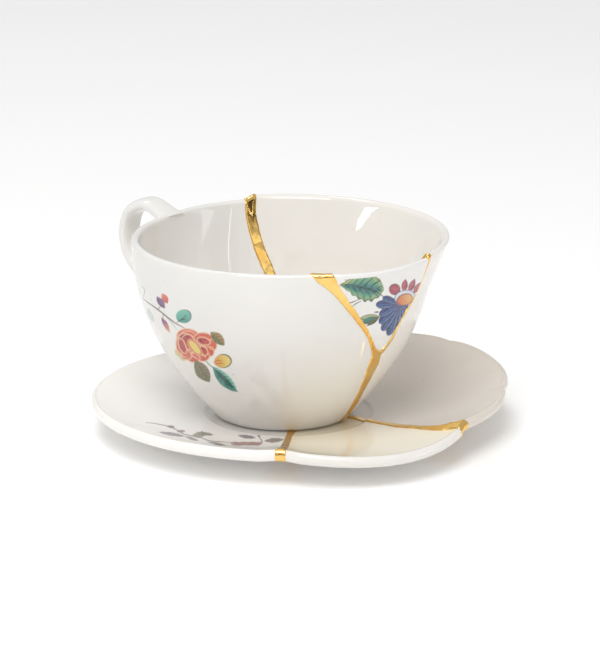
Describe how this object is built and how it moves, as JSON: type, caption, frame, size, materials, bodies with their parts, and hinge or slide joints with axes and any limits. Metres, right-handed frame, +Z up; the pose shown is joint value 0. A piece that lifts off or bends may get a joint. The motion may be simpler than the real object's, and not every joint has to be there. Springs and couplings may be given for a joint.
{
  "type": "kintsugi cup and saucer",
  "caption": "Porcelain teacup with a strap handle on its saucer, each put together from unlike shards joined by raised gold seams.",
  "frame": {"origin": "under the middle of the whole outline, on the surface that the saucer stands on", "axes": "+Z up, -X towards the cup's handle, +Y towards the saucer's high lobed side"},
  "size_m": [0.152, 0.1492, 0.0744],
  "materials": {
    "handle_ware": "clear gloss glaze over cool white porcelain",
    "flower_ware": "gloss glaze, painted flower in cobalt, crimson and teal",
    "plain_ware": "gloss glaze over warm white porcelain",
    "round_ware": "gloss glaze, painted sepia sprig",
    "cream_ware": "cream glaze with a paler edge",
    "petal_ware": "gloss glaze over grey white porcelain",
    "gold_seam": "polished gold over raised lacquer"
  },
  "bodies": {
    "root": {"cup_handle_shard": "handle_ware", "cup_flower_shard": "flower_ware", "cup_plain_shard": "plain_ware", "cup_gold_seam": "gold_seam", "saucer_round_shard": "round_ware", "saucer_cream_shard": "cream_ware", "saucer_petal_shard": "petal_ware", "saucer_gold_seam": "gold_seam"}
  },
  "joints": []
}
